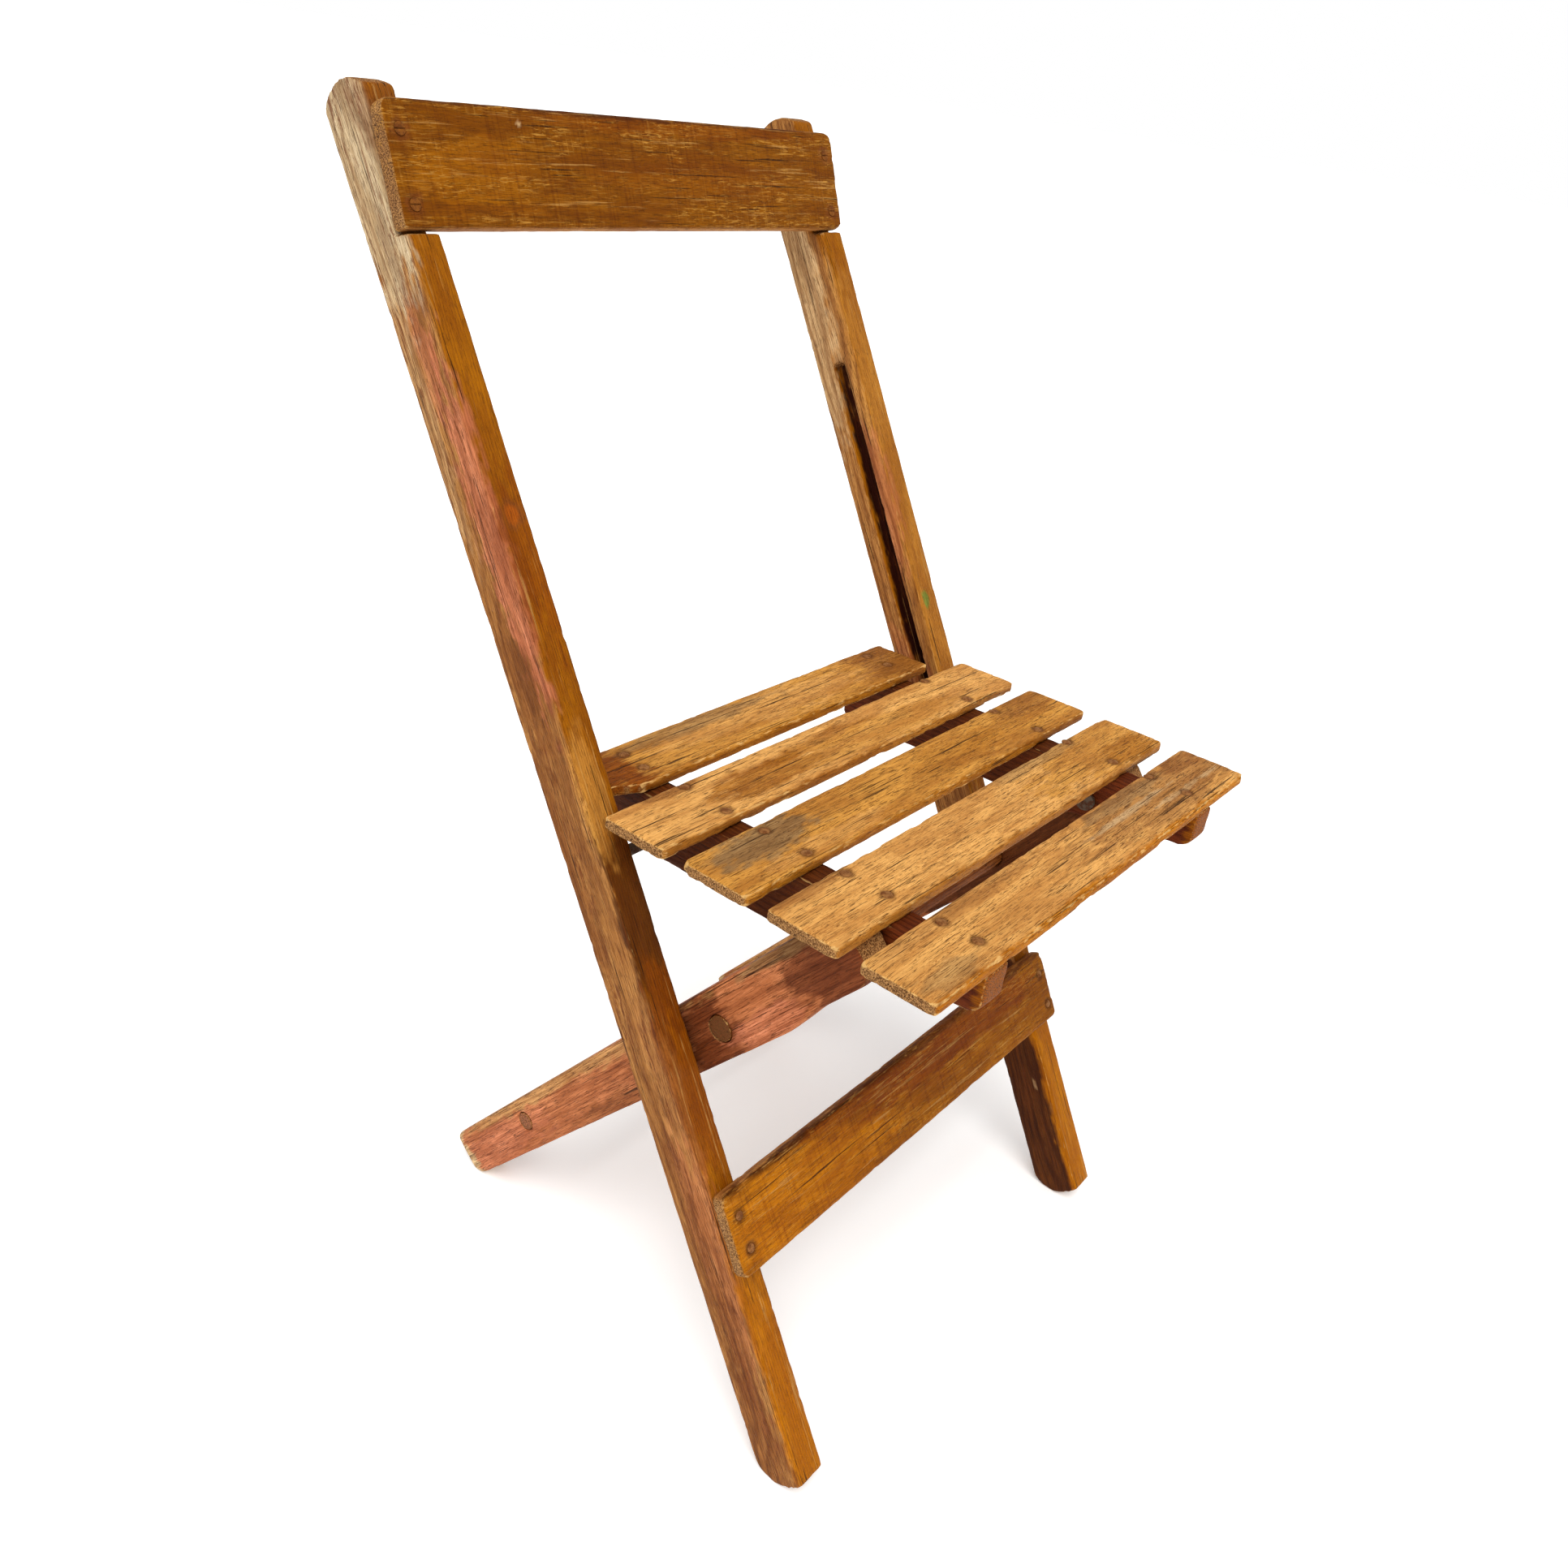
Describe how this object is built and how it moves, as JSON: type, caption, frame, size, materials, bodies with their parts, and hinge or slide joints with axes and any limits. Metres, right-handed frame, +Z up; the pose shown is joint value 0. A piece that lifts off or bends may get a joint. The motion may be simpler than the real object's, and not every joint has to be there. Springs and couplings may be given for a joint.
{
  "type": "folding chair",
  "caption": "Wooden folding chair with a slatted seat, a backrest board and crossing legs; the seat lifts and slides up grooved stiles as the rear legs fold flat.",
  "frame": {"origin": "centre of the footprint on the floor plane, under the middle of the bounding box", "axes": "+X across the chair, -Y towards the front edge of the seat, +Z up from the floor"},
  "size_m": [0.42, 0.5311, 0.8298],
  "materials": {
    "stile_wood": "worn amber varnish over weathered grain",
    "board_wood": "worn amber varnish with fine scratches",
    "seat_wood": "weathered golden tan with grey patches",
    "leg_wood": "weathered red brown with pale worn edges",
    "dowel_wood": "dark weathered end grain",
    "fastener_steel": "dull brown rust",
    "pin_steel": "dull worn steel"
  },
  "bodies": {
    "frame": {"left_stile": "stile_wood", "right_stile": "stile_wood", "backrest_board": "board_wood", "front_stretcher": "board_wood", "backrest_screws": "fastener_steel", "stretcher_nails": "fastener_steel", "left_crossing_pin": "pin_steel", "right_crossing_pin": "pin_steel", "left_crossing_washer": "pin_steel", "right_crossing_washer": "pin_steel"},
    "rear_legs": {"left_rear_leg": "leg_wood", "right_rear_leg": "leg_wood", "upper_leg_dowel": "dowel_wood", "lower_leg_dowel": "dowel_wood", "left_seat_hinge_pin": "pin_steel", "right_seat_hinge_pin": "pin_steel"},
    "seat": {"left_seat_bearer": "leg_wood", "right_seat_bearer": "leg_wood", "seat_slat_1": "seat_wood", "seat_slat_2": "seat_wood", "seat_slat_3": "seat_wood", "seat_slat_4": "seat_wood", "seat_slat_5": "seat_wood", "slat_nails": "fastener_steel", "left_slide_pin": "pin_steel", "right_slide_pin": "pin_steel"}
  },
  "joints": [
    {"name": "leg_fold", "type": "hinge", "parent": "frame", "child": "rear_legs", "pos_m": [0, -0.07354, 0.27826], "axis": [-1, 0, 0], "range_deg": [0, 64.5]},
    {"name": "seat_hinge", "type": "hinge", "parent": "rear_legs", "child": "seat", "pos_m": [0, -0.1808, 0.41754], "axis": [1, 0, 0], "range_deg": [0, 125.5]}
  ],
  "couplings": [
    {"joint": "seat_hinge", "follows": "leg_fold", "ratio": 1.944}
  ]
}
